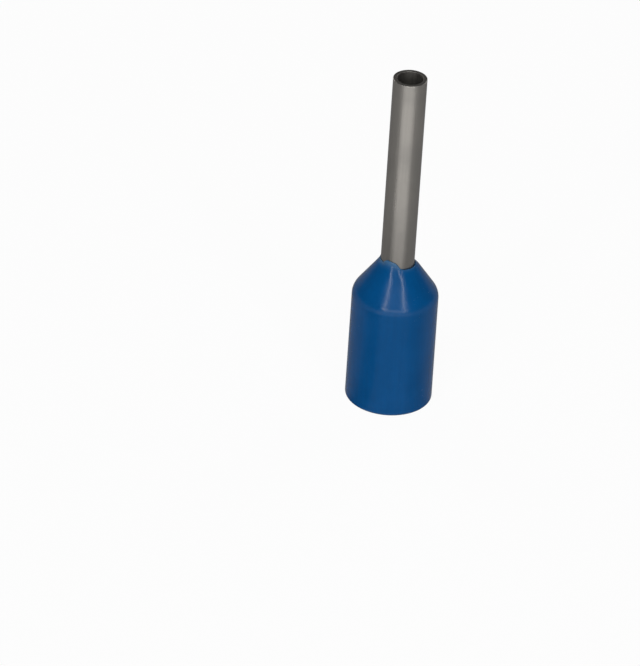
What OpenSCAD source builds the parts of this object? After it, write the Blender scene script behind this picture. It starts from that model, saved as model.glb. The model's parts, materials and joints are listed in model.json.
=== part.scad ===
// Insulated wire-end ferrule for one fine-stranded conductor.
// A tinned copper sleeve with a flared inner end sits in a moulded plastic
// collar. The ferrule stands on the collar's mouth, centred on the origin,
// with the bare sleeve pointing up along +Z. All sizes are in millimetres.

/* [Contact sleeve] */
// Inner diameter of the sleeve, which takes the stripped strands
sleeve_bore_d = 1.0; // [0.8:0.05:1.3]
// Wall thickness of the sleeve
sleeve_wall = 0.15; // [0.12:0.01:0.2]
// Length of bare sleeve that stands out of the collar
sleeve_reach = 8.0; // [6:0.5:12]
// Rounding of the tip's outer edge
tip_outer_r = 0.08; // [0.04:0.01:0.1]
// Rounding of the sleeve's other edges
cut_edge_r = 0.03; // [0.01:0.01:0.05]
// Diameter across the flared inner end
flare_d = 2.2; // [2:0.05:2.5]
// Radius of the bend from tube to flare, on its outer face
flare_bend_r = 0.4; // [0.2:0.05:0.5]

/* [Insulating collar] */
// Overall length of the collar
collar_len = 6.0; // [5:0.1:8]
// Bore of the collar, which takes the wire with its insulation
collar_bore_d = 2.6; // [2.6:0.05:3.2]
// Wall thickness of the collar at its mouth
collar_wall = 0.375; // [0.3:0.025:0.5]
// Draft of the outer wall, from the mouth up to the shoulder
draft_angle = 0.15; // [0:0.05:0.5]
// Length of the cone from the shoulder to the lip
cone_len = 1.36; // [1.2:0.02:1.6]
// Wall thickness of the cone
cone_wall = 0.25; // [0.2:0.01:0.35]
// Rounding of the shoulder
shoulder_r = 0.6; // [0.2:0.1:0.8]
// Thickness of the lip that ends the cone on the sleeve
lip_wall = 0.05; // [0.03:0.01:0.1]
// Rounding of the mouth's outer edge
mouth_outer_r = 0.1; // [0.05:0.01:0.15]
// Rounding of the mouth's inner edge, which leads the wire in
mouth_inner_r = 0.12; // [0.05:0.01:0.15]
// Rounding of the corner between the entry bore and the funnel
funnel_r = 0.2; // [0.1:0.05:0.4]

/* [Fit] */
// Clearance between the sleeve and its seat in the collar
seat_clearance = 0.005; // [0:0.005:0.02]

/* [Hidden] */
$fn = 96;
// A rounding's arc is drawn this much larger, so that it crosses both of its
// sides cleanly where it would only touch them
arc_over = 0.0001;

// Radii, all from the two bores and their walls
bore_r = sleeve_bore_d / 2;
sleeve_r = bore_r + sleeve_wall;
neck_r = sleeve_r + seat_clearance;
lip_r = neck_r + lip_wall;
entry_r = collar_bore_d / 2;
mouth_r = entry_r + collar_wall;

// Heights above the mouth
shoulder_z = collar_len - cone_len;
tip_z = collar_len + sleeve_reach;

// The cone's outer corners, its direction and its inward normal
shoulder_pt = [mouth_r - shoulder_z * tan(draft_angle), shoulder_z];
lip_pt = [lip_r, collar_len];
cone_dir = unit(lip_pt - shoulder_pt);
cone_in = [-cone_dir[1], cone_dir[0]];

// Depths below the cone of the faces that run parallel to it
funnel_depth = cone_wall;
flare_depth = funnel_depth + seat_clearance;
flare_inner_depth = flare_depth + sleeve_wall;

function unit(v) = v / norm(v);

// Point at radius r on the face that lies depth below the outer cone
function cone_point(depth, r) =
    let (start = shoulder_pt + depth * cone_in)
    start + cone_dir * (r - start[0]) / cone_dir[0];

// Corner of a section: its point [radius, height] and its rounding
function corner(p, round_r = 0) = [p, round_r];

// Sliver between the corner at p and an arc of radius r that is tangent to
// the sides from p towards before and after. It reaches past the corner by
// as much as the arc lies inside it, so that it overlaps what it meets.
module corner_sliver(before, p, after, r) {
    side_a = unit(before - p);
    side_b = unit(after - p);
    bisector = unit(side_a + side_b);
    half = acos(side_a * side_b) / 2;
    tangent_len = r / tan(half);
    centre_dist = r / sin(half);
    difference() {
        polygon([p + side_a * tangent_len,
                 p - bisector * (centre_dist - r),
                 p + side_b * tangent_len]);
        translate(p + bisector * centre_dist) circle(r = r + arc_over);
    }
}

// Section outline through corners listed counterclockwise, each rounded:
// an outward corner loses its sliver, an inward one is filled by it
module rounded_section(corners) {
    count = len(corners);
    points = [for (c = corners) c[0]];
    module slivers(outward) {
        for (i = [0 : count - 1]) {
            last = points[(i + count - 1) % count];
            next = points[(i + 1) % count];
            turns_out = cross(points[i] - last, next - points[i]) > 0;
            // An inward corner's sliver is drawn from next to last, so that it
            // runs counterclockwise too
            if (corners[i][1] > 0 && turns_out == outward)
                corner_sliver(outward ? last : next, points[i],
                              outward ? next : last, corners[i][1]);
        }
    }
    difference() {
        polygon(points);
        slivers(true);
    }
    slivers(false);
}

// Moulded plastic collar: entry bore, funnel and a neck round the sleeve,
// with the funnel's nose rounded to carry the bend of the flare
module collar() {
    color([0.09, 0.31, 0.53])
    rotate_extrude()
    rounded_section([
        corner([mouth_r, 0], mouth_outer_r),
        corner(shoulder_pt, shoulder_r),
        corner(lip_pt),
        corner([neck_r, collar_len]),
        corner(cone_point(funnel_depth, neck_r), flare_bend_r - seat_clearance),
        corner(cone_point(funnel_depth, entry_r), funnel_r),
        corner([entry_r, 0], mouth_inner_r)
    ]);
}

// Drawn copper sleeve, tinned all over, with its inner end flared on to the
// collar's funnel
module sleeve() {
    flare_end = cone_point(flare_depth, flare_d / 2);
    color([0.72, 0.71, 0.68])
    rotate_extrude()
    rounded_section([
        corner([sleeve_r, tip_z], tip_outer_r),
        corner([bore_r, tip_z], cut_edge_r),
        corner(cone_point(flare_inner_depth, bore_r), flare_bend_r + sleeve_wall),
        corner(flare_end + sleeve_wall * cone_in, cut_edge_r),
        corner(flare_end, cut_edge_r),
        corner(cone_point(flare_depth, sleeve_r), flare_bend_r)
    ]);
}

collar();
sleeve();
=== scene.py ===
"""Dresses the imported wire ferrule: a blue moulded collar on a tinned copper sleeve.

The two pieces are turned from their section outlines by one Geometry Nodes
lathe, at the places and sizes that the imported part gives. Lengths are in
metres, angles in degrees unless a name says otherwise.
"""

import json  # noqa: E402
import logging  # noqa: E402
import math  # noqa: E402
from dataclasses import dataclass, field  # noqa: E402
from enum import Enum  # noqa: E402
from typing import Any, Iterator, Sequence  # noqa: E402

import bpy  # noqa: E402
from mathutils import Matrix, Vector  # noqa: E402


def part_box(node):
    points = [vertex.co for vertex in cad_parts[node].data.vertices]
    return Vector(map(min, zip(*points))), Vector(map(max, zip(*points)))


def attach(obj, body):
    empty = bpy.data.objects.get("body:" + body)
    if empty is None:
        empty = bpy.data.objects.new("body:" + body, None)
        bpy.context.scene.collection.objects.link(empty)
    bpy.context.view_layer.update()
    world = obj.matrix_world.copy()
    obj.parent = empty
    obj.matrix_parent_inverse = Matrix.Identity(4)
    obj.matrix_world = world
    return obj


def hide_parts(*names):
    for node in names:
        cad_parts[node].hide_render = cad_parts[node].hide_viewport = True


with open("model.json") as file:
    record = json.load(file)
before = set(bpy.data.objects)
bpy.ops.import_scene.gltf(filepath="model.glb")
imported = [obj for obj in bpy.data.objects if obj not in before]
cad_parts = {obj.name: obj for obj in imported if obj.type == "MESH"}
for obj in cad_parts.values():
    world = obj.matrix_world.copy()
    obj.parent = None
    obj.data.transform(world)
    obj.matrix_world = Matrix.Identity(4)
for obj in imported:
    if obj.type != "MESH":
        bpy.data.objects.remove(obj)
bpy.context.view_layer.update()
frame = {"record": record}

LOG = logging.getLogger("ferrule")
ROOT_BODY = "root"
MM = 0.001
MICRON = 0.000001
NOISE_MEAN = 0.5

Color = tuple[float, float, float]
Pairs = Sequence[tuple[float, float]]
Material = bpy.types.Material
Node = bpy.types.Node
NodeTree = bpy.types.NodeTree
Object = bpy.types.Object
Socket = bpy.types.NodeSocket

WHITE: Color = (1.0, 1.0, 1.0)


class PartNode(str, Enum):
    """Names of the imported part's nodes."""

    COLLAR = "collar"
    SLEEVE = "sleeve"


class FinishSlot(str, Enum):
    """Names of the record's material slots."""

    COLLAR_PLASTIC = "collar_plastic"
    TINNED_COPPER = "tinned_copper"


class Trait(str, Enum):
    """Names of the values that a section outline's points carry."""

    ROUNDING = "rounding"
    WEAR = "wear"
    LIFT = "lift"
    FILM = "film"
    BORE = "bore"


# ---- Shared helpers ----


def rgba(color: Color) -> tuple[float, float, float, float]:
    """Returns a colour with full alpha."""
    return (*color, 1.0)


def direction(azimuth: float, elevation: float = 0.0) -> Vector:
    """Gives a direction from the axis.

    Args:
        azimuth: angle from the front, positive to the right.
        elevation: angle above the horizon.

    Returns:
        The direction, of length 1.
    """
    a, e = math.radians(azimuth), math.radians(elevation)
    return Vector((math.sin(a) * math.cos(e), -math.cos(a) * math.cos(e), math.sin(e)))


def add_object(name: str, data: Any) -> Object:
    """Makes an object and links it to the scene.

    Args:
        name: the object's name.
        data: its mesh, lamp or camera.

    Returns:
        The object.
    """
    made = bpy.data.objects.new(name, data)
    bpy.context.scene.collection.objects.link(made)
    return made


class Graph:
    """Short way to add and join nodes of one tree.

    Args:
        tree: the node tree to fill.
    """

    def __init__(self, tree: NodeTree) -> None:
        """Keeps the tree."""
        self.tree = tree

    def add(self, kind: str, *values: Any, **named: Any) -> Node:
        """Adds a node, sets its properties and fills its inputs.

        Args:
            kind: the node's Blender type.
            values: values or sockets for its first inputs, in order.
            named: its properties, in small letters, then values or sockets
                for other inputs, with a capital and _ for a space.

        Returns:
            The new node.
        """
        node = self.tree.nodes.new(kind)
        for name, value in named.items():
            if name.islower():
                setattr(node, name, value)
            else:
                self.feed(node.inputs[name.replace("_", " ")], value)
        for socket, value in zip(node.inputs, values):
            self.feed(socket, value)
        return node

    def feed(self, socket: Socket, value: Any) -> None:
        """Joins an output to an input, or sets the input's value.

        Args:
            socket: the input.
            value: a node, whose first output is used, an output or a value.
        """
        if isinstance(value, Node):
            value = value.outputs[0]
        if isinstance(value, Socket):
            self.tree.links.new(value, socket)
        else:
            socket.default_value = value

    def math(self, operation: str, *values: Any, clamp: bool = False) -> Socket:
        """Returns the result of a Math node, kept from 0 to 1 if clamped."""
        options = {"operation": operation, "use_clamp": clamp}
        return self.add("ShaderNodeMath", *values, **options).outputs[0]

    def layered(self, base: Any, *layers: tuple[Any, float]) -> Any:
        """Adds masks to a base value.

        Args:
            base: the base value.
            layers: each mask with the amount that it is multiplied by.

        Returns:
            The sum.
        """
        for mask, amount in layers:
            base = self.math("MULTIPLY_ADD", mask, amount, base)
        return base

    def vector_math(self, operation: str, *values: Any) -> Node:
        """Returns a Vector Math node."""
        return self.add("ShaderNodeVectorMath", *values, operation=operation)

    def dot(self, first: Any, second: Any) -> Socket:
        """Returns the dot product of two vectors."""
        return self.vector_math("DOT_PRODUCT", first, second).outputs["Value"]

    def scaled(self, vector: Any, factor: Any) -> Socket:
        """Returns a vector or a colour times a factor."""
        options = {"operation": "SCALE", "Scale": factor}
        return self.add("ShaderNodeVectorMath", vector, **options).outputs[0]

    def remap(
        self, value: Any, low: Any, high: Any, to_low: Any = 0.0, to_high: Any = 1.0
    ) -> Socket:
        """Adds a smooth, clamped Map Range node.

        Args:
            value: the value to map.
            low: the value that becomes to_low.
            high: the value that becomes to_high.
            to_low: the first end of the result.
            to_high: the second end of the result.

        Returns:
            The mapped value.
        """
        values = (value, low, high, to_low, to_high)
        options = {"interpolation_type": "SMOOTHSTEP"}
        return self.add("ShaderNodeMapRange", *values, **options).outputs[0]

    def noise(
        self, vector: Any, scale: Any, detail: float, roughness: float = 0.5
    ) -> Socket:
        """Adds a 3D noise texture.

        Args:
            vector: where the noise is read.
            scale: its frequency.
            detail: its octaves.
            roughness: how strong the finer octaves are.

        Returns:
            The noise, from 0 to 1.
        """
        options = {"noise_dimensions": "3D", "Vector": vector, "Scale": scale}
        options |= {"Detail": detail, "Roughness": roughness}
        return self.add("ShaderNodeTexNoise", **options).outputs[0]

    def attribute(self, name: str) -> Socket:
        """Returns a number that is stored on the mesh."""
        return self.add("ShaderNodeAttribute", attribute_name=name).outputs["Fac"]


# ---- Section outlines and the lathe ----


@dataclass(frozen=True)
class Corner:
    """One corner of a section outline.

    Attributes:
        radius: distance from the axis.
        height: height above the mouth.
        rounding: radius of the corner's rounding, 0 for a plain point.
        wear: how much the corner is rubbed, from 0 to 1.
        lift: how far it follows the lip's uneven edge, from 0 to 1.
        film: how thin the plastic is there, from 0 to 1.
        bore: 1 on the wall of a bore, 0 elsewhere.
    """

    radius: float
    height: float
    rounding: float = 0.0
    wear: float = 0.0
    lift: float = 0.0
    film: float = 0.0
    bore: float = 0.0

    def place(self) -> Vector:
        """Returns the corner in the section's plane."""
        return Vector((self.radius, self.height))

    def towards(self, other: "Corner", share: float) -> "Corner":
        """Makes a plain point on the way to another corner.

        Args:
            other: the corner to go towards.
            share: 0 at this corner, 1 at the other.

        Returns:
            The point, whose lift, film and bore lie between the two corners'.
        """
        at = self.place().lerp(other.place(), share)
        between: dict[str, float] = {}
        for trait in (Trait.LIFT, Trait.FILM, Trait.BORE):
            first, second = getattr(self, trait.value), getattr(other, trait.value)
            between[trait.value] = first + (second - first) * share
        return Corner(at.x, at.y, **between)


@dataclass
class Section:
    """Closed outline of a turned piece, counterclockwise.

    Attributes:
        corners: the outline's corners.
        holding_gap: distance from a rounding's end to the point that keeps
            the face beyond it flat.
        step: longest stretch between two points.
    """

    corners: Sequence[Corner]
    holding_gap: float = 0.012 * MM
    step: float = 0.5 * MM

    def next_place(self, place: int) -> int:
        """Returns the place of the next corner."""
        return (place + 1) % len(self.corners)

    def tangent_length(self, place: int) -> float:
        """Finds how far a corner's rounding reaches along its sides.

        Args:
            place: the corner's place in the outline.

        Returns:
            The length.
        """
        corner = self.corners[place]
        if corner.rounding == 0:
            return 0.0
        before = self.corners[place - 1].place() - corner.place()
        after = self.corners[self.next_place(place)].place() - corner.place()
        return corner.rounding / math.tan(before.angle(after) / 2)

    def points(self) -> list[Corner]:
        """Lists the outline's points.

        Returns:
            The corners with the plain points between them.
        """
        found: list[Corner] = []
        for place, corner in enumerate(self.corners):
            next_place = self.next_place(place)
            after = self.corners[next_place]
            span = (after.place() - corner.place()).length
            start = self.tangent_length(place) + self.holding_gap
            end = span - self.tangent_length(next_place) - self.holding_gap
            found.append(corner)
            if end <= start:
                continue
            steps = max(1, math.ceil((end - start) / self.step))
            for turn in range(steps + 1):
                share = (start + (end - start) * turn / steps) / span
                found.append(corner.towards(after, share))
        return found

    def to_object(self, name: str) -> Object:
        """Makes the outline an object of edges with the corners' traits.

        Args:
            name: the object's name.

        Returns:
            The object, in the XZ plane.
        """
        points = self.points()
        mesh = bpy.data.meshes.new(name)
        rows = [(point.radius, 0.0, point.height) for point in points]
        edges = [(i, (i + 1) % len(points)) for i in range(len(points))]
        mesh.from_pydata(rows, edges, [])
        for trait in Trait:
            layer = mesh.attributes.new(trait.value, "FLOAT", "POINT")
            values = [getattr(point, trait.value) for point in points]
            layer.data.foreach_set("value", values)
        return add_object(name, mesh)


@dataclass(frozen=True)
class LipEdge:
    """How a moulded lip's edge rises and falls round the axis.

    Attributes:
        crest: height of the flash above the plain edge.
        crest_azimuth: where the flash is highest, from the front, positive
            to the right.
        crest_reach: angle from there to where it ends.
        tilt: height by which the edge leans to its high side.
        tilt_azimuth: where that side is.
        ripple: height of the small waves.
        ripple_count: frequency of the small waves.
        seed: start of the small waves.
    """

    crest: float = 0.0
    crest_azimuth: float = 0.0
    crest_reach: float = 40.0
    tilt: float = 0.0
    tilt_azimuth: float = 0.0
    ripple: float = 0.0
    ripple_count: float = 3.0
    seed: float = 0.0


class Lathe:
    """Geometry Nodes tree that turns a section outline into a closed shell.

    On the way it notes each ring point's turn round the axis, and the radius
    and height of each outline point, and removes them at the end.
    """

    TURN = "turn"
    RADIUS = "section_radius"
    HEIGHT = "section_height"
    INPUTS = {
        "Segments": "Int",
        "Arc Points": "Int",
        "Crest Height": "Float",
        "Crest Direction": "Vector",
        "Crest Reach Cosine": "Float",
        "Tilt": "Vector",
        "Ripple Height": "Float",
        "Ripple Count": "Float",
        "Seed": "Float",
        "Finish": "Material",
    }

    def __init__(self) -> None:
        """Builds the tree and notes its inputs' identifiers."""
        self.tree = bpy.data.node_groups.new("lathe", "GeometryNodeTree")
        self.graph = Graph(self.tree)
        face = self.tree.interface
        face.new_socket("Section", in_out="INPUT", socket_type="NodeSocketGeometry")
        self.identifiers: dict[str, str] = {}
        for name, kind in self.INPUTS.items():
            socket_type = f"NodeSocket{kind}"
            socket = face.new_socket(name, in_out="INPUT", socket_type=socket_type)
            self.identifiers[name] = socket.identifier
        face.new_socket("Piece", in_out="OUTPUT", socket_type="NodeSocketGeometry")
        self._fill()

    def _fill(self) -> None:
        """Adds the nodes, from the section to the finished piece."""
        graph = self.graph
        given = graph.add("NodeGroupInput").outputs
        shell = self._swept(given, self._rounded_section(given))
        smooth = graph.add("GeometryNodeSetShadeSmooth", shell)
        real = graph.add("GeometryNodeRealizeInstances", smooth)
        dressed = graph.add("GeometryNodeSetMaterial", real, Material=given["Finish"])
        graph.add("NodeGroupOutput", dressed)

    def _named(self, name: str) -> Socket:
        """Returns one value of the points by its name."""
        node = self.graph.add("GeometryNodeInputNamedAttribute", Name=name)
        return node.outputs["Attribute"]

    def _store(self, geometry: Any, name: str, value: Any) -> Node:
        """Returns the node that stores one value on the points under a name."""
        kind = "GeometryNodeStoreNamedAttribute"
        return self.graph.add(kind, geometry, Name=name, Value=value)

    def _rounded_section(self, given: Any) -> Node:
        """Rounds the outline's corners and notes each point's place.

        Args:
            given: the tree's inputs.

        Returns:
            The node that puts out the outline.
        """
        graph = self.graph
        outline = graph.add("GeometryNodeMeshToCurve", given["Section"])
        radius = self._named(Trait.ROUNDING.value)
        rounding = {"mode": "POLY", "Radius": radius, "Count": given["Arc Points"]}
        fillet = graph.add("GeometryNodeFilletCurve", outline, **rounding)
        position = graph.add("GeometryNodeInputPosition")
        place = graph.add("ShaderNodeSeparateXYZ", position).outputs
        with_radius = self._store(fillet, self.RADIUS, place["X"])
        return self._store(with_radius, self.HEIGHT, place["Z"])

    def _swept(self, given: Any, outline: Node) -> Node:
        """Sweeps the outline round the axis and lifts the lip's edge.

        Args:
            given: the tree's inputs.
            outline: the node that puts out the rounded outline.

        Returns:
            The node that puts out the closed shell.
        """
        graph, segments = self.graph, given["Segments"]
        ring = graph.add("GeometryNodeCurvePrimitiveCircle", Resolution=segments)
        share = graph.math("DIVIDE", graph.add("GeometryNodeInputIndex"), segments)
        turned = self._store(ring, self.TURN, graph.math("MULTIPLY", share, math.tau))
        shell = graph.add("GeometryNodeCurveToMesh", turned, outline)
        turn = self._named(self.TURN)
        east = graph.math("SINE", turn)
        north = graph.math("MULTIPLY", graph.math("COSINE", turn), -1.0)
        around = graph.add("ShaderNodeCombineXYZ", east, north)
        rise = self._edge_height(given, around)
        lift = graph.math("MULTIPLY", rise, self._named(Trait.LIFT.value))
        height = graph.math("ADD", self._named(self.HEIGHT), lift)
        flat = graph.scaled(around, self._named(self.RADIUS))
        up = graph.add("ShaderNodeCombineXYZ", Z=height)
        place = graph.vector_math("ADD", flat, up)
        kept = graph.add("GeometryNodeSetPosition", shell, Position=place)
        shaping = (Trait.ROUNDING.value, Trait.LIFT.value)
        for name in (self.TURN, self.RADIUS, self.HEIGHT, *shaping):
            kept = graph.add("GeometryNodeRemoveAttribute", kept, Name=name)
        return kept

    def _edge_height(self, given: Any, around: Node) -> Socket:
        """Gives how far the lip's edge stands above its plain height.

        Args:
            given: the tree's inputs.
            around: the direction from the axis to the point.

        Returns:
            The height.
        """
        graph, seed = self.graph, given["Seed"]
        facing = graph.dot(around, given["Crest Direction"])
        reach, top = given["Crest Reach Cosine"], given["Crest Height"]
        crest = graph.remap(facing, low=reach, high=1.0, to_low=0.0, to_high=top)
        tilt = graph.dot(around, given["Tilt"])
        shift = graph.add("ShaderNodeCombineXYZ", seed, seed, seed)
        spot = graph.vector_math("ADD", around, shift)
        noise = graph.noise(spot, scale=given["Ripple Count"], detail=3.0)
        wave = graph.math("SUBTRACT", noise, NOISE_MEAN)
        ripple = graph.math("MULTIPLY", wave, given["Ripple Height"])
        return graph.math("ADD", graph.math("ADD", crest, tilt), ripple)

    def turn(
        self,
        section: Section,
        name: str,
        finish: Material,
        segments: int,
        arc_points: int,
        edge: LipEdge = LipEdge(),
    ) -> Object:
        """Turns a section into a plain mesh object.

        Args:
            section: the outline.
            name: the piece's name.
            finish: the piece's material.
            segments: faces round the axis.
            arc_points: points on each rounding.
            edge: how the lip's edge runs.

        Returns:
            The piece, with its place in its mesh.
        """
        outline = section.to_object(f"{name}_section")
        modifier = outline.modifiers.new("lathe", "NODES")
        modifier.node_group = self.tree
        for label, value in (
            ("Segments", segments),
            ("Arc Points", arc_points),
            ("Crest Height", edge.crest),
            ("Crest Direction", direction(edge.crest_azimuth)),
            ("Crest Reach Cosine", math.cos(math.radians(edge.crest_reach))),
            ("Tilt", direction(edge.tilt_azimuth) * edge.tilt),
            ("Ripple Height", edge.ripple),
            ("Ripple Count", edge.ripple_count),
            ("Seed", edge.seed),
            ("Finish", finish),
        ):
            modifier[self.identifiers[label]] = value
        evaluated = outline.evaluated_get(bpy.context.evaluated_depsgraph_get())
        mesh = bpy.data.meshes.new_from_object(evaluated)
        mesh.name = name
        bpy.data.objects.remove(outline)
        return add_object(name, mesh)


# ---- Surface effects that both finishes share ----


class EffectGraph(Graph):
    """Graph of a shader node group with a Point input and a float output.

    Args:
        name: the group's name.
        floats: names of its float inputs.
        output: name of its output.
    """

    def __init__(self, name: str, floats: Sequence[str], output: str) -> None:
        """Makes the group's sockets and its input node."""
        super().__init__(bpy.data.node_groups.new(name, "ShaderNodeTree"))
        face = self.tree.interface
        face.new_socket("Point", in_out="INPUT", socket_type="NodeSocketVector")
        for label in floats:
            face.new_socket(label, in_out="INPUT", socket_type="NodeSocketFloat")
        face.new_socket(output, in_out="OUTPUT", socket_type="NodeSocketFloat")
        self.given = self.add("NodeGroupInput").outputs

    def scale_of(self, size: str) -> Socket:
        """Returns the frequency that belongs to one of the size inputs."""
        return self.math("DIVIDE", 1.0, self.given[size])

    def finished(self, result: Socket) -> NodeTree:
        """Joins the group's output and returns its tree."""
        self.add("NodeGroupOutput", result)
        return self.tree


class EffectKit:
    """Shader node groups for effects, each built once.

    Every group takes sizes in metres and reads the point it is given, which
    is the piece's Object coordinates.
    """

    LEAST_SPECK = 0.4  # how much of the speck size the smallest speck has
    SCUFF_TURN = (0.5, 0.9, 0.3)  # radians that the scratches are turned by
    SCUFF_LENGTH = 14.0  # how many spacings long a scratch is
    PATCH_EDGE = 0.12  # how softly a patch of scratches ends

    def __init__(self) -> None:
        """Builds all groups."""
        self.tone = self._tone()
        self.lines = self._lines()
        self.grain = self._grain()
        self.rub = self._rub()
        self.specks = self._specks()
        self.scuffs = self._scuffs()

    @staticmethod
    def _tone() -> NodeTree:
        """Builds soft clouds of lighter and darker tone, from -1 to 1.

        Returns:
            The group.
        """
        graph = EffectGraph("tone", ("Size", "Seed"), "Tone")
        seed = graph.given["Seed"]
        shift = graph.add("ShaderNodeCombineXYZ", seed, 0.0, seed)
        scaled = graph.scaled(graph.given["Point"], graph.scale_of("Size"))
        spot = graph.vector_math("ADD", scaled, shift)
        cloud = graph.noise(spot, scale=1.0, detail=3.0, roughness=0.55)
        tone = graph.remap(cloud, low=0.3, high=0.7, to_low=-1.0, to_high=1.0)
        return graph.finished(tone)

    @staticmethod
    def _lines() -> NodeTree:
        """Builds fine lines that run along the axis, from -1 to 1.

        Returns:
            The group.
        """
        graph = EffectGraph("lines", ("Spacing", "Length", "Seed"), "Line")
        split = graph.add("ShaderNodeSeparateXYZ", graph.given["Point"]).outputs
        across, along = graph.scale_of("Spacing"), graph.scale_of("Length")
        x = graph.math("MULTIPLY_ADD", split["X"], across, graph.given["Seed"])
        y = graph.math("MULTIPLY", split["Y"], across)
        z = graph.math("MULTIPLY", split["Z"], along)
        spot = graph.add("ShaderNodeCombineXYZ", x, y, z)
        line = graph.noise(spot, scale=1.0, detail=4.0, roughness=0.6)
        line = graph.remap(line, low=0.25, high=0.75, to_low=-1.0, to_high=1.0)
        return graph.finished(line)

    @staticmethod
    def _grain() -> NodeTree:
        """Builds the fine, even grain of a surface, from 0 to 1.

        Returns:
            The group.
        """
        graph = EffectGraph("grain", ("Size",), "Height")
        point, scale = graph.given["Point"], graph.scale_of("Size")
        return graph.finished(graph.noise(point, scale, detail=3.0, roughness=0.6))

    @staticmethod
    def _rub() -> NodeTree:
        """Builds the broken mask of rubbed edges, from 0 to 1.

        Returns:
            The group.
        """
        graph = EffectGraph("rub", ("Wear", "Breakup Size", "Amount"), "Mask")
        point, scale = graph.given["Point"], graph.scale_of("Breakup Size")
        noise = graph.noise(point, scale, detail=4.0, roughness=0.65)
        breakup = graph.remap(noise, low=0.35, high=0.65, to_low=0.3, to_high=1.0)
        edge = graph.remap(graph.given["Wear"], low=0.15, high=1.0)
        rubbed = graph.math("MULTIPLY", edge, breakup)
        mask = graph.math("MULTIPLY", rubbed, graph.given["Amount"], clamp=True)
        return graph.finished(mask)

    def _specks(self) -> NodeTree:
        """Builds a few small round specks of dust, from 0 to 1.

        Returns:
            The group.
        """
        graph = EffectGraph("specks", ("Cell Size", "Speck Size", "Share"), "Mask")
        given, scale = graph.given, graph.scale_of("Cell Size")
        cells = graph.add("ShaderNodeTexVoronoi", Vector=given["Point"], Scale=scale)
        distance = graph.math("MULTIPLY", cells.outputs["Distance"], given["Cell Size"])
        pick = graph.add("ShaderNodeSeparateColor", Color=cells.outputs["Color"])
        chosen = graph.math("LESS_THAN", pick.outputs[0], given["Share"])
        varied = graph.math("ADD", pick.outputs[1], self.LEAST_SPECK)
        size = graph.math("MULTIPLY", given["Speck Size"], varied)
        half = graph.math("MULTIPLY", size, 0.5)
        dot = graph.math("SUBTRACT", 1.0, graph.remap(distance, low=half, high=size))
        return graph.finished(graph.math("MULTIPLY", dot, chosen))

    def _scuffs(self) -> NodeTree:
        """Builds short faint scratches in a few patches, from 0 to 1.

        Returns:
            The group.
        """
        graph = EffectGraph("scuffs", ("Spacing", "Patch Size", "Share"), "Mask")
        point = graph.given["Point"]
        rotation = {"rotation_type": "EULER_XYZ", "Rotation": self.SCUFF_TURN}
        turned = graph.add("ShaderNodeVectorRotate", point, **rotation)
        split = graph.add("ShaderNodeSeparateXYZ", turned).outputs
        fine = graph.scale_of("Spacing")
        scales = (fine, graph.math("DIVIDE", fine, self.SCUFF_LENGTH), fine)
        parts = [graph.math("MULTIPLY", *pair) for pair in zip(split, scales)]
        spot = graph.add("ShaderNodeCombineXYZ", *parts)
        noise = graph.noise(spot, scale=1.0, detail=2.0)
        scratch = graph.remap(noise, low=0.66, high=0.74)
        patch = graph.noise(point, graph.scale_of("Patch Size"), detail=1.0)
        start = graph.math("SUBTRACT", 1.0, graph.given["Share"])
        end = graph.math("ADD", start, self.PATCH_EDGE)
        patchy = graph.remap(patch, low=start, high=end)
        return graph.finished(graph.math("MULTIPLY", scratch, patchy))


# ---- Finishes ----


class MaterialGraph(Graph):
    """Graph of a new material.

    Args:
        name: the material's name.
    """

    def __init__(self, name: str) -> None:
        """Starts the material without nodes."""
        self.material = bpy.data.materials.new(name)
        self.material.use_nodes = True
        super().__init__(self.material.node_tree)
        self.tree.nodes.clear()

    def finished(self, shader: Node) -> Material:
        """Joins the material's output and returns the material."""
        self.add("ShaderNodeOutputMaterial", Surface=shader)
        return self.material


class FinishGraph(MaterialGraph):
    """Graph of a finish, in which one shader takes the shared effects.

    Args:
        name: the material's name.
    """

    def __init__(self, name: str) -> None:
        """Adds the shader and the coordinates that the effects read."""
        super().__init__(name)
        self.shader = self.add("ShaderNodeBsdfPrincipled")
        self.point = self.add("ShaderNodeTexCoord").outputs["Object"]

    def place(self, group: NodeTree, **values: Any) -> Socket:
        """Places an effect with its inputs but Point, and returns its output."""
        options = {"node_tree": group, "Point": self.point, **values}
        return self.add("ShaderNodeGroup", **options).outputs[0]

    def join_color(self, base: Any, *layers: tuple[Any, float, Color]) -> None:
        """Joins the shader's colour.

        Args:
            base: the colour at the bottom.
            layers: mask, strength and colour of each layer over it.
        """
        for mask, strength, color in layers:
            factor = self.math("MULTIPLY", mask, strength)
            mix = self.add("ShaderNodeMix", data_type="RGBA", Factor=factor)
            self.feed(mix.inputs[6], base)
            self.feed(mix.inputs[7], rgba(color))
            base = mix.outputs[2]
        self.feed(self.shader.inputs["Base Color"], base)

    def join_roughness(self, base: float, *layers: tuple[Any, float]) -> None:
        """Joins the shader's roughness, the base value and its layers."""
        self.feed(self.shader.inputs["Roughness"], self.layered(base, *layers))

    def join_relief(self, *layers: tuple[Any, float]) -> None:
        """Joins the shader's relief.

        Args:
            layers: each layer with its depth.
        """
        height = self.layered(0.0, *layers)
        bump = self.add("ShaderNodeBump", Strength=1.0, Distance=1.0, Height=height)
        self.feed(self.shader.inputs["Normal"], bump)


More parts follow.
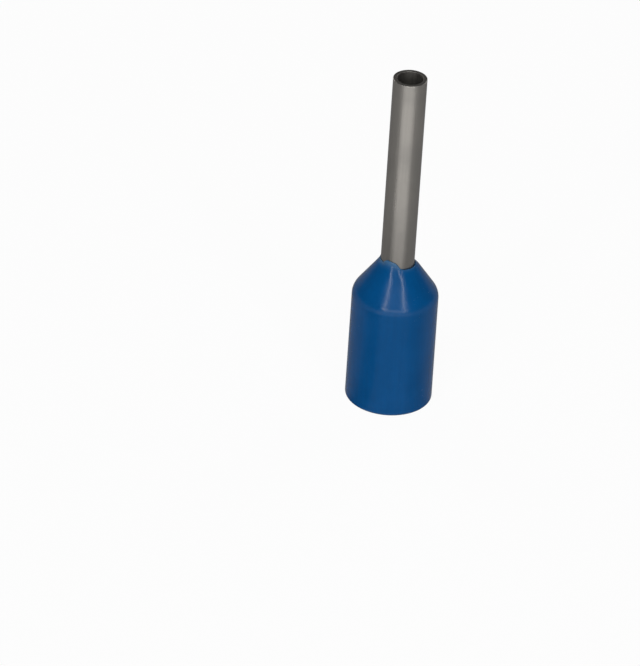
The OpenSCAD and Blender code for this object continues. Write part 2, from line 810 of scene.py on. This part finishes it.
@dataclass(frozen=True)
class MouldedPlastic:
    """Satin polypropylene as it comes from the mould.

    Attributes:
        name: the material's name.
        color: the plastic's colour.
        rubbed_color: colour of its rubbed edges.
        film_and_highlight_color: paler colour where it thins out to a film, made
            lighter still as a painted highlight along the lip.
        dust_color: colour of dust on it.
        roughness: its mean roughness.
        specular: its gloss.
        grain_depth: height of its grain.
        flow_depth: height of its flow lines.
        film_start: film value at which its colour starts to change.
        cloud_tint: how far the clouds change its colour.
        flow_tint: how far the flow lines change its colour.
        scuff_tint: how far a scratch takes the rubbed colour.
        dust_tint: how far a speck hides the plastic.
        cloud_roughness: how far the clouds change its roughness.
        rub_roughness: how much rougher its rubbed edges are.
        scuff_roughness: how much rougher its scratches are.
    """

    name: str = "moulded_plastic"
    color: Color = (0.000, 0.071, 0.228)
    rubbed_color: Color = (0.030, 0.105, 0.235)
    film_and_highlight_color: Color = (0.045, 0.130, 0.255)
    dust_color: Color = (0.32, 0.33, 0.34)
    roughness: float = 0.19
    specular: float = 0.28
    grain_depth: float = 1.2 * MICRON
    flow_depth: float = 0.9 * MICRON
    film_start: float = 0.3
    cloud_tint: float = 0.045
    flow_tint: float = 0.030
    scuff_tint: float = 0.30
    dust_tint: float = 0.55
    cloud_roughness: float = 0.03
    rub_roughness: float = 0.16
    scuff_roughness: float = 0.15

    def build(self, kit: EffectKit) -> Material:
        """Builds the material.

        Args:
            kit: the shared effects.

        Returns:
            The material.
        """
        graph = FinishGraph(self.name)
        tone = graph.place(kit.tone, Size=1.1 * MM, Seed=3.0)
        flow = graph.place(kit.lines, Spacing=0.16 * MM, Length=5.0 * MM, Seed=8.0)
        grain = graph.place(kit.grain, Size=0.035 * MM)
        edge = graph.attribute(Trait.WEAR.value)
        rub = graph.place(kit.rub, Wear=edge, Breakup_Size=0.14 * MM, Amount=0.85)
        dust = {"Cell_Size": 0.55 * MM, "Speck_Size": 0.020 * MM, "Share": 0.10}
        specks = graph.place(kit.specks, **dust)
        scratches = {"Spacing": 0.045 * MM, "Patch_Size": 0.9 * MM, "Share": 0.42}
        scuffs = graph.place(kit.scuffs, **scratches)
        shade = graph.layered(1.0, (tone, self.cloud_tint), (flow, self.flow_tint))
        film = graph.attribute(Trait.FILM.value)
        graph.join_color(
            graph.scaled(self.color, shade),
            # Partly painted highlight: the thin flash is paler, and this colour is
            # lighter still to paint the hazy highlight along the lip.
            (graph.remap(film, self.film_start, 1.0), 1.0, self.film_and_highlight_color),
            (rub, 1.0, self.rubbed_color),
            (scuffs, self.scuff_tint, self.rubbed_color),
            (specks, self.dust_tint, self.dust_color),
        )
        graph.join_roughness(
            self.roughness,
            (tone, self.cloud_roughness),
            (rub, self.rub_roughness),
            (scuffs, self.scuff_roughness),
        )
        graph.join_relief((grain, self.grain_depth), (flow, self.flow_depth))
        graph.shader.inputs["Specular IOR Level"].default_value = self.specular
        return graph.finished(graph.shader)


@dataclass(frozen=True)
class TinnedCopper:
    """Drawn copper tube under a thin, satin coat of tin.

    Attributes:
        name: the material's name.
        color: the tin's colour.
        dull_color: colour of its duller patches.
        rubbed_color: colour of its rubbed edges.
        dull_and_shaded_bore_color: colour of the duller tin inside, darkened further as
            painted shade deep in the bore.
        roughness: its mean roughness.
        line_depth: height of the drawing lines.
        grain_depth: height of the tin's grain.
        coarse_share: share of the coarser drawing lines.
        fine_share: share of the finer drawing lines.
        dull_lines: how far the lines change where it is dull.
        dull_range: tones between which it turns dull.
        bore_start: bore value at which the inside starts.
        scuff_tint: how far a scratch takes the rubbed colour.
        line_roughness: how far the lines change its roughness.
        bore_roughness: how much rougher it is inside.
        cloud_roughness: how far the clouds change its roughness.
        rub_roughness: change of roughness on its rubbed, smoother edges.
    """

    name: str = "tinned_copper"
    color: Color = (0.385, 0.365, 0.338)
    dull_color: Color = (0.352, 0.336, 0.312)
    rubbed_color: Color = (0.500, 0.478, 0.446)
    dull_and_shaded_bore_color: Color = (0.250, 0.240, 0.222)
    roughness: float = 0.34
    line_depth: float = 1.6 * MICRON
    grain_depth: float = 0.9 * MICRON
    coarse_share: float = 0.55
    fine_share: float = 0.45
    dull_lines: float = 0.5
    dull_range: tuple[float, float] = (-0.9, 1.1)
    bore_start: float = 0.9
    scuff_tint: float = 0.35
    line_roughness: float = 0.06
    bore_roughness: float = 0.20
    cloud_roughness: float = 0.04
    rub_roughness: float = -0.06

    def build(self, kit: EffectKit) -> Material:
        """Builds the material.

        Args:
            kit: the shared effects.

        Returns:
            The material.
        """
        graph = FinishGraph(self.name)
        tone = graph.place(kit.tone, Size=1.6 * MM, Seed=11.0)
        coarse = graph.place(kit.lines, Spacing=0.11 * MM, Length=4.5 * MM, Seed=2.0)
        fine = graph.place(kit.lines, Spacing=0.028 * MM, Length=1.6 * MM, Seed=5.0)
        grain = graph.place(kit.grain, Size=0.022 * MM)
        edge = graph.attribute(Trait.WEAR.value)
        rub = graph.place(kit.rub, Wear=edge, Breakup_Size=0.07 * MM, Amount=0.2)
        scratches = {"Spacing": 0.03 * MM, "Patch_Size": 0.8 * MM, "Share": 0.45}
        scuffs = graph.place(kit.scuffs, **scratches)
        line = graph.layered(0.0, (coarse, self.coarse_share), (fine, self.fine_share))
        dullness = graph.layered(tone, (line, self.dull_lines))
        bore = graph.attribute(Trait.BORE.value)
        inside = graph.remap(bore, self.bore_start, 1.0)
        graph.join_color(
            rgba(self.color),
            (graph.remap(dullness, *self.dull_range), 1.0, self.dull_color),
            (rub, 1.0, self.rubbed_color),
            (scuffs, self.scuff_tint, self.rubbed_color),
            # The inside is duller tin and is also darkened here to paint the shade deep
            # in the bore.
            (inside, 1.0, self.dull_and_shaded_bore_color),
        )
        graph.join_roughness(
            self.roughness,
            (line, self.line_roughness),
            (inside, self.bore_roughness),
            (tone, self.cloud_roughness),
            (rub, self.rub_roughness),
        )
        graph.join_relief((line, self.line_depth), (grain, self.grain_depth))
        graph.shader.inputs["Metallic"].default_value = 1.0
        return graph.finished(graph.shader)


# ---- The ferrule ----


def top_corner(node: PartNode) -> Vector:
    """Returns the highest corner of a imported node's box."""
    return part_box(node.value)[1]


def mount_radius(name: str) -> float:
    """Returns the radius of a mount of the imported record."""
    mounts = {found["name"]: found for found in frame["record"]["mounts"]}
    return mounts[name]["dims"]["r_mm"] * MM


@dataclass
class SharedSizes:
    """Sizes that both pieces follow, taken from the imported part.

    Attributes:
        mouth_radius: the collar's outer radius at the mouth.
        lip_height: height of the collar's lip.
        tip_height: height of the sleeve's tip.
        entry_radius: the collar's bore.
        bore_radius: the sleeve's bore.
        sleeve_radius: the sleeve's outside.
        flare_radius: the sleeve's flared end.
        cone_len: length of the cone, from shoulder to lip.
        cone_wall: thickness of the cone.
        draft_angle: draft of the collar's wall.
        seat_clearance: gap between the sleeve and its seat.
        lip_wall: thickness of the lip.
        flare_bend: radius of the bend from tube to flare.
    """

    mouth_radius: float = field(default_factory=lambda: top_corner(PartNode.COLLAR).x)
    lip_height: float = field(default_factory=lambda: top_corner(PartNode.COLLAR).z)
    tip_height: float = field(default_factory=lambda: top_corner(PartNode.SLEEVE).z)
    entry_radius: float = field(default_factory=lambda: mount_radius("wire_entry"))
    bore_radius: float = field(default_factory=lambda: mount_radius("conductor_bore"))
    sleeve_radius: float = field(default_factory=lambda: mount_radius("contact_sleeve"))
    flare_radius: float = 1.1 * MM
    cone_len: float = 1.36 * MM
    cone_wall: float = 0.25 * MM
    draft_angle: float = 0.15
    seat_clearance: float = 0.005 * MM
    lip_wall: float = 0.05 * MM
    flare_bend: float = 0.4 * MM

    @property
    def neck_radius(self) -> float:
        """Radius of the collar's seat round the sleeve."""
        return self.sleeve_radius + self.seat_clearance

    @property
    def shoulder(self) -> Vector:
        """Corner between the collar's wall and its cone."""
        height, slope = self.lip_height - self.cone_len, math.radians(self.draft_angle)
        return Vector((self.mouth_radius - height * math.tan(slope), height))

    @property
    def lip(self) -> Vector:
        """Outer corner of the lip."""
        return Vector((self.neck_radius + self.lip_wall, self.lip_height))

    @property
    def up_cone(self) -> Vector:
        """Direction from the shoulder to the lip."""
        return (self.lip - self.shoulder).normalized()

    @property
    def cone_inward(self) -> Vector:
        """Direction from the cone straight into its wall."""
        return Vector((-self.up_cone.y, self.up_cone.x))

    def cone_end(self, reach: float) -> Vector:
        """Returns the point on the cone a little way down from the lip."""
        return self.lip - self.up_cone * reach

    def under_cone(self, depth: float, radius: float) -> Vector:
        """Finds the point at a radius on a face parallel to the cone.

        Args:
            depth: how far the face lies below the cone.
            radius: the point's distance from the axis.

        Returns:
            The point, as radius and height.
        """
        start = self.shoulder + depth * self.cone_inward
        return start + self.up_cone * ((radius - start.x) / self.up_cone.x)


@dataclass
class Collar:
    """Moulded collar: entry bore, funnel, cone and an uneven lip.

    Attributes:
        sizes: the shared sizes.
        finish: its plastic.
        shoulder_rounding: rounding of the shoulder.
        mouth_outer_rounding: rounding of the mouth's outer edge.
        mouth_inner_rounding: rounding of the mouth's inner edge.
        funnel_rounding: rounding between bore and funnel.
        lip_reach: length of the cone's end that the uneven lip takes up.
        lip_drop: how far below the flash's edge the cone ends.
        lip_rounding: rounding of the cone's end.
        film_wall: thickness of the flash that climbs the sleeve.
        film_rounding: rounding of the flash's edge.
        film_root: how far down from its edge the flash starts.
        edge: how the lip's edge runs round the sleeve.
        segments: faces round the axis.
        arc_points: points on each rounding.
    """

    sizes: SharedSizes
    finish: MouldedPlastic = field(default_factory=MouldedPlastic)
    shoulder_rounding: float = 0.6 * MM
    mouth_outer_rounding: float = 0.1 * MM
    mouth_inner_rounding: float = 0.12 * MM
    funnel_rounding: float = 0.2 * MM
    lip_reach: float = 0.34 * MM
    lip_drop: float = 0.02 * MM
    lip_rounding: float = 0.015 * MM
    film_wall: float = 0.022 * MM
    film_rounding: float = 0.008 * MM
    film_root: float = 0.1 * MM
    edge: LipEdge = LipEdge(
        crest=0.22 * MM,
        crest_azimuth=-21.0,
        crest_reach=36.0,
        tilt=0.12 * MM,
        tilt_azimuth=-80.0,
        ripple=0.03 * MM,
        ripple_count=2.5,
        seed=4.0,
    )
    segments: int = 224
    arc_points: int = 14

    def section(self) -> Section:
        """Draws the collar's outline, with the thin flash on its lip.

        Returns:
            The outline.
        """
        sizes, lip = self.sizes, self.sizes.lip
        neck, top = sizes.neck_radius, sizes.lip_height
        nose = sizes.under_cone(sizes.cone_wall, neck)
        nose_rounding = sizes.flare_bend - sizes.seat_clearance
        funnel = sizes.under_cone(sizes.cone_wall, sizes.entry_radius)
        lip_corner = (lip.x, lip.y - self.lip_drop, self.lip_rounding)
        flash_corner = (neck + self.film_wall, top, self.film_rounding)
        return Section([
            Corner(sizes.mouth_radius, 0.0, self.mouth_outer_rounding, wear=1.0),
            Corner(*sizes.shoulder, self.shoulder_rounding, wear=0.25),
            Corner(*sizes.cone_end(self.lip_reach)),
            Corner(*lip_corner, wear=0.4, lift=0.34, film=0.6),
            Corner(*flash_corner, film=1.0, lift=1.0),
            Corner(neck, top, film=1.0, lift=1.0),
            Corner(neck, top - self.film_root),
            Corner(*nose, nose_rounding),
            Corner(*funnel, self.funnel_rounding),
            Corner(sizes.entry_radius, 0.0, self.mouth_inner_rounding, wear=0.7),
        ])

    def build(self, lathe: Lathe, kit: EffectKit) -> Object:
        """Turns the collar, dresses it and puts it on its body.

        Args:
            lathe: the lathe.
            kit: the shared effects.

        Returns:
            The collar.
        """
        section, material = self.section(), self.finish.build(kit)
        counts = (self.segments, self.arc_points)
        piece = lathe.turn(section, "moulded_collar", material, *counts, self.edge)
        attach(piece, ROOT_BODY)
        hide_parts(PartNode.COLLAR.value)
        return piece


@dataclass
class Sleeve:
    """Drawn sleeve with a rounded tip and an inner end flared on the funnel.

    Attributes:
        sizes: the shared sizes.
        finish: its tinned copper.
        tip_rounding: rounding of the tip's outer edge.
        cut_rounding: rounding of the other edges.
        segments: faces round the axis.
        arc_points: points on each rounding.
    """

    sizes: SharedSizes
    finish: TinnedCopper = field(default_factory=TinnedCopper)
    tip_rounding: float = 0.02 * MM
    cut_rounding: float = 0.015 * MM
    segments: int = 160
    arc_points: int = 12

    def section(self) -> Section:
        """Draws the sleeve's outline.

        Returns:
            The outline.
        """
        sizes, cut = self.sizes, self.cut_rounding
        outside, inside, tip = sizes.sleeve_radius, sizes.bore_radius, sizes.tip_height
        wall = outside - inside
        outer_depth = sizes.cone_wall + sizes.seat_clearance
        flare_outer = sizes.under_cone(outer_depth, sizes.flare_radius)
        flare_inner = flare_outer + wall * sizes.cone_inward
        inner_bend = sizes.under_cone(outer_depth + wall, inside)
        outer_bend = sizes.under_cone(outer_depth, outside)
        return Section([
            Corner(outside, tip, self.tip_rounding, wear=1.0),
            Corner(inside, tip, cut, wear=0.3, bore=1.0),
            Corner(*inner_bend, sizes.flare_bend + wall, bore=1.0),
            Corner(*flare_inner, cut, wear=0.6),
            Corner(*flare_outer, cut, wear=0.6),
            Corner(*outer_bend, sizes.flare_bend),
        ])

    def build(self, lathe: Lathe, kit: EffectKit) -> Object:
        """Turns the sleeve, dresses it and puts it on its body.

        Args:
            lathe: the lathe.
            kit: the shared effects.

        Returns:
            The sleeve.
        """
        section, material = self.section(), self.finish.build(kit)
        counts = (self.segments, self.arc_points)
        piece = lathe.turn(section, "contact_sleeve", material, *counts)
        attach(piece, ROOT_BODY)
        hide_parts(PartNode.SLEEVE.value)
        return piece


# ---- Studio ----


def disc_points(outline: Pairs, steps: int) -> list[Vector]:
    """Places the points of a disc of rings round a middle point.

    Args:
        outline: radius and height of each ring, from the inside.
        steps: points on each ring.

    Returns:
        The middle point, then each ring from the front on.
    """
    points = [Vector((0.0, 0.0, outline[0][1]))]
    for radius, height in outline:
        up = Vector((0.0, 0.0, height))
        points += [direction(360 * i / steps) * radius + up for i in range(steps)]
    return points


def disc_faces(rings: int, steps: int) -> Iterator[tuple[int, int, tuple[int, ...]]]:
    """Joins the points of a disc of rings.

    Args:
        rings: number of rings.
        steps: points on each ring.

    Yields:
        The face's ring, its step round the disc and its points.
    """
    for ring in range(rings):
        for step in range(steps):
            here = 1 + ring * steps + step
            there = 1 + ring * steps + (step + 1) % steps
            if ring == 0:
                yield ring, step, (0, here, there)
            else:
                yield ring, step, (here - steps, here, there, there - steps)


@dataclass
class Cove:
    """Round pale floor that curves up into a low wall on every side.

    Attributes:
        flat_radius: radius of its level part.
        wall_radius: radius of its wall.
        wall_height: height of its wall.
        color: its colour.
        show_through: share of plain white that a viewer sees in it.
        flat_rings: rings on its level part, as shares of its radius.
        curve_rings: rings on the curve.
        segments: faces round the axis.
    """

    flat_radius: float = 500 * MM
    wall_radius: float = 600 * MM
    wall_height: float = 45 * MM
    color: Color = (0.82, 0.82, 0.82)
    show_through: float = 0.95
    flat_rings: Sequence[float] = (0.01, 0.1, 0.4, 1.0)
    curve_rings: int = 12
    segments: int = 96

    def material(self) -> Material:
        """Builds its paper: lit by the lamps, with white laid over it for
        what looks at it straight or in a mirror or a glass.

        Returns:
            The material.
        """
        graph = MaterialGraph("pale_paper")
        rays = graph.add("ShaderNodeLightPath").outputs
        seen = graph.math("MAXIMUM", rays["Is Camera Ray"], rays["Is Glossy Ray"])
        seen = graph.math("MAXIMUM", seen, rays["Is Transmission Ray"])
        share = graph.math("MULTIPLY", seen, self.show_through)
        lit = graph.add("ShaderNodeBsdfDiffuse", Color=rgba(self.color))
        white = graph.add("ShaderNodeEmission", Color=rgba(WHITE), Strength=1.0)
        return graph.finished(graph.add("ShaderNodeMixShader", share, lit, white))

    def build(self) -> Object:
        """Builds the cove.

        Returns:
            The cove.
        """
        outline = [(self.flat_radius * share, 0.0) for share in self.flat_rings]
        depth = self.wall_radius - self.flat_radius
        for ring in range(1, self.curve_rings + 1):
            angle = math.pi / 2 * ring / self.curve_rings
            radius = self.flat_radius + depth * math.sin(angle)
            outline.append((radius, self.wall_height * (1 - math.cos(angle))))
        points = disc_points(outline, self.segments)
        faces = [face for _, _, face in disc_faces(len(outline), self.segments)]
        mesh = bpy.data.meshes.new("cove")
        mesh.from_pydata(points, [], faces)
        mesh.shade_smooth()
        mesh.materials.append(self.material())
        cove = add_object("cove", mesh)
        return cove


@dataclass(frozen=True)
class Lamp:
    """Soft rectangular lamp that faces the ferrule.

    Attributes:
        name: the lamp's name.
        azimuth: where it stands, 0 to the front, positive to the right.
        elevation: how high it stands above the horizon.
        distance: how far it stands from the ferrule.
        width: its width.
        height: its height.
        radiance: how bright its face is, where 1 is white.
    """

    name: str
    azimuth: float
    elevation: float
    distance: float
    width: float
    height: float
    radiance: float

    def build(self, aim: Vector) -> Object:
        """Builds the lamp.

        Args:
            aim: the point it faces.

        Returns:
            The lamp.
        """
        data = bpy.data.lights.new(self.name, "AREA")
        data.shape = "RECTANGLE"
        data.size, data.size_y = self.width, self.height
        data.energy = self.radiance * math.pi * self.width * self.height
        lamp = add_object(self.name, data)
        away = direction(self.azimuth, self.elevation)
        lamp.location = aim + away * self.distance
        lamp.rotation_mode = "QUATERNION"
        lamp.rotation_quaternion = away.to_track_quat("Z", "Y")
        lamp.visible_camera = False
        return lamp


@dataclass
class ReflectionGlowCard:
    """Glowing card on the paper, with openings, that only reflections see: its glow
    paints reflections.

    Attributes:
        near_tones: azimuth and glow, where 1 is white, of its middle, painting
            reflection bands.
        far_tones: azimuth and glow of the rest, painting reflection bands.
        inner_radius: radius of its middle, beyond which the openings start.
        outer_radius: radius of its level part.
        rim_radius: radius of its turned-up rim.
        rim_height: height of that rim.
        openings: middle azimuth and half width of each opening.
        lift: height of the card above the paper.
        steps: faces round the card.
    """

    # Painted reflection: these glow levels set the darker and lighter bands that the
    # ferrule reflects.
    near_tones: Pairs = (
        (-180, 0.27), (-110, 0.25), (-84, 0.25), (-74, 0.20), (-60, 0.06), (-38, 0.06),
        (-30, 0.28), (32, 0.29), (42, 0.17), (66, 0.17), (84, 0.27), (180, 0.27),
    )
    far_tones: Pairs = (
        (-180, 0.27), (-132, 0.25), (-110, 0.30), (-88, 0.33), (-43, 0.35),
        (39, 0.42), (66, 0.38), (88, 0.355), (110, 0.32), (132, 0.27), (180, 0.27),
    )
    inner_radius: float = 11.5 * MM
    outer_radius: float = 500 * MM
    rim_radius: float = 585 * MM
    rim_height: float = 46 * MM
    openings: Pairs = ((-2.0, 41.0), (180.0, 10.0))
    lift: float = 0.01 * MM
    steps: int = 360

    @staticmethod
    def from_front(azimuth: float) -> float:
        """Returns an azimuth as the same one from -180 to 180."""
        return (azimuth + 180) % 360 - 180

    def is_open(self, azimuth: float) -> bool:
        """Tells whether an opening lies at an azimuth."""
        offsets = ((self.from_front(azimuth - at), half) for at, half in self.openings)
        return any(abs(offset) < half for offset, half in offsets)

    def tone_at(self, tones: Pairs, azimuth: float) -> float:
        """Finds the brightness at an azimuth.

        Args:
            tones: azimuths from -180 to 180 with their brightness.
            azimuth: where the brightness is wanted.

        Returns:
            The brightness between the two nearest tones.
        """
        wanted = self.from_front(azimuth)
        for (start, first), (end, second) in zip(tones, tones[1:]):
            if wanted <= end:
                return first + (second - first) * (wanted - start) / (end - start)
        return tones[-1][1]

    @staticmethod
    def material() -> Material:
        """Builds its glow, as bright as each face's shade.

        Returns:
            The material.
        """
        graph = MaterialGraph("reflection_glow_card")
        shade = graph.attribute("shade")
        grey = graph.add("ShaderNodeEmission", Color=rgba(WHITE), Strength=shade)
        return graph.finished(grey)

    def build(self) -> Object:
        """Builds the card.

        Returns:
            The card.
        """
        outline = (
            (self.inner_radius, self.lift),
            (self.outer_radius, self.lift),
            (self.rim_radius, self.rim_height),
        )
        faces: list[tuple[int, ...]] = []
        shades: list[float] = []
        for ring, step, face in disc_faces(len(outline), self.steps):
            azimuth = 360 * (step + 0.5) / self.steps
            tones = self.far_tones if ring else self.near_tones
            if ring == 0 or not self.is_open(azimuth):
                faces.append(face)
                shades.append(self.tone_at(tones, azimuth))
        mesh = bpy.data.meshes.new("reflection_glow_card")
        mesh.from_pydata(disc_points(outline, self.steps), [], faces)
        layer = mesh.attributes.new("shade", "FLOAT", "FACE")
        layer.data.foreach_set("value", shades)
        mesh.materials.append(self.material())
        card = add_object("reflection_glow_card", mesh)
        # Only glossy rays see the card, so its glow paints reflections on the ferrule
        # alone.
        for ray in ("camera", "diffuse", "transmission", "volume_scatter", "shadow"):
            setattr(card, f"visible_{ray}", False)
        return card


@dataclass
class Viewpoint:
    """Camera that looks down on the standing ferrule.

    Attributes:
        elevation: how steeply it looks down.
        roll: how far it is turned about its own line of sight.
        distance: how far it stands from the foot of the ferrule.
        right_of_axis: how far the ferrule's foot lies right of the centre.
        below_axis: how far the ferrule's foot lies below the centre.
        lens: its focal length, in millimetres.
        sensor: width of its sensor, in millimetres.
        clip_range: nearest and farthest distance that it sees.
    """

    elevation: float = 31.744
    roll: float = 3.670
    distance: float = 270.90 * MM
    right_of_axis: float = 2.773 * MM
    below_axis: float = 2.144 * MM
    lens: float = 379.54
    sensor: float = 36.0
    clip_range: tuple[float, float] = (10 * MM, 5.0)

    def build(self) -> Object:
        """Builds the camera and makes it the scene's own.

        Returns:
            The camera.
        """
        back = direction(0.0, self.elevation)
        right = Vector((1.0, 0.0, 0.0))
        up = back.cross(right)
        turn = math.radians(self.roll)
        across = right * math.cos(turn) + up * math.sin(turn)
        upward = up * math.cos(turn) - right * math.sin(turn)
        turned = Matrix((across, upward, back)).transposed().to_4x4()
        place = back * self.distance - right * self.right_of_axis + up * self.below_axis
        data = bpy.data.cameras.new("viewpoint")
        data.lens, data.sensor_width = self.lens, self.sensor
        data.clip_start, data.clip_end = self.clip_range
        camera = add_object("viewpoint", data)
        camera.matrix_world = Matrix.Translation(place) @ turned
        bpy.context.scene.camera = camera
        return camera


@dataclass
class Studio:
    """Pale cove, soft lamps, a glowing card that paints reflections, and the camera.

    Attributes:
        ambient: brightness of the room.
        aim_height: height that the lamps face.
        lamps: the soft lamps.
    """

    ambient: float = 0.07
    aim_height: float = 6 * MM
    lamps: Sequence[Lamp] = (
        Lamp("key", -3.0, 54.0, 320 * MM, 340 * MM, 60 * MM, 6.3),
        Lamp("panel", -1.0, 27.5, 320 * MM, 340 * MM, 215 * MM, 0.32),
        Lamp("left_edge", -26.8, 28.0, 330 * MM, 11 * MM, 215 * MM, 22.0),
        Lamp("right_edge", 29.0, 28.0, 330 * MM, 17 * MM, 215 * MM, 13.5),
        Lamp("low_edge", 0.5, 15.0, 330 * MM, 320 * MM, 110 * MM, 1.7),
        Lamp("left_back", -140.0, 26.0, 350 * MM, 140 * MM, 140 * MM, 3.4),
        Lamp("right_back", 140.0, 26.0, 350 * MM, 140 * MM, 140 * MM, 3.4),
    )

    def build(self) -> None:
        """Builds the whole studio and sets the picture's plain look."""
        scene = bpy.context.scene
        scene.view_settings.view_transform = "Standard"
        world = bpy.data.worlds.new("room")
        world.use_nodes = True
        background = world.node_tree.nodes["Background"]
        background.inputs["Color"].default_value = rgba(WHITE)
        background.inputs["Strength"].default_value = self.ambient
        scene.world = world
        Cove().build()
        aim = Vector((0.0, 0.0, self.aim_height))
        for lamp in self.lamps:
            lamp.build(aim)
        # Glowing card that only reflections see: painted reflection bands on the
        # ferrule.
        ReflectionGlowCard().build()
        Viewpoint().build()


def main() -> None:
    """Builds the ferrule's pieces in order, then the studio."""
    logging.basicConfig(level=logging.INFO, format="%(name)s: %(message)s")
    sizes = SharedSizes()
    lathe, kit = Lathe(), EffectKit()
    for assembly in (Collar(sizes), Sleeve(sizes)):
        piece = assembly.build(lathe, kit)
        LOG.info("%s: %d faces", piece.name, len(piece.data.polygons))
    Studio().build()
    LOG.info("studio built")


if __name__ == "__main__":
    main()
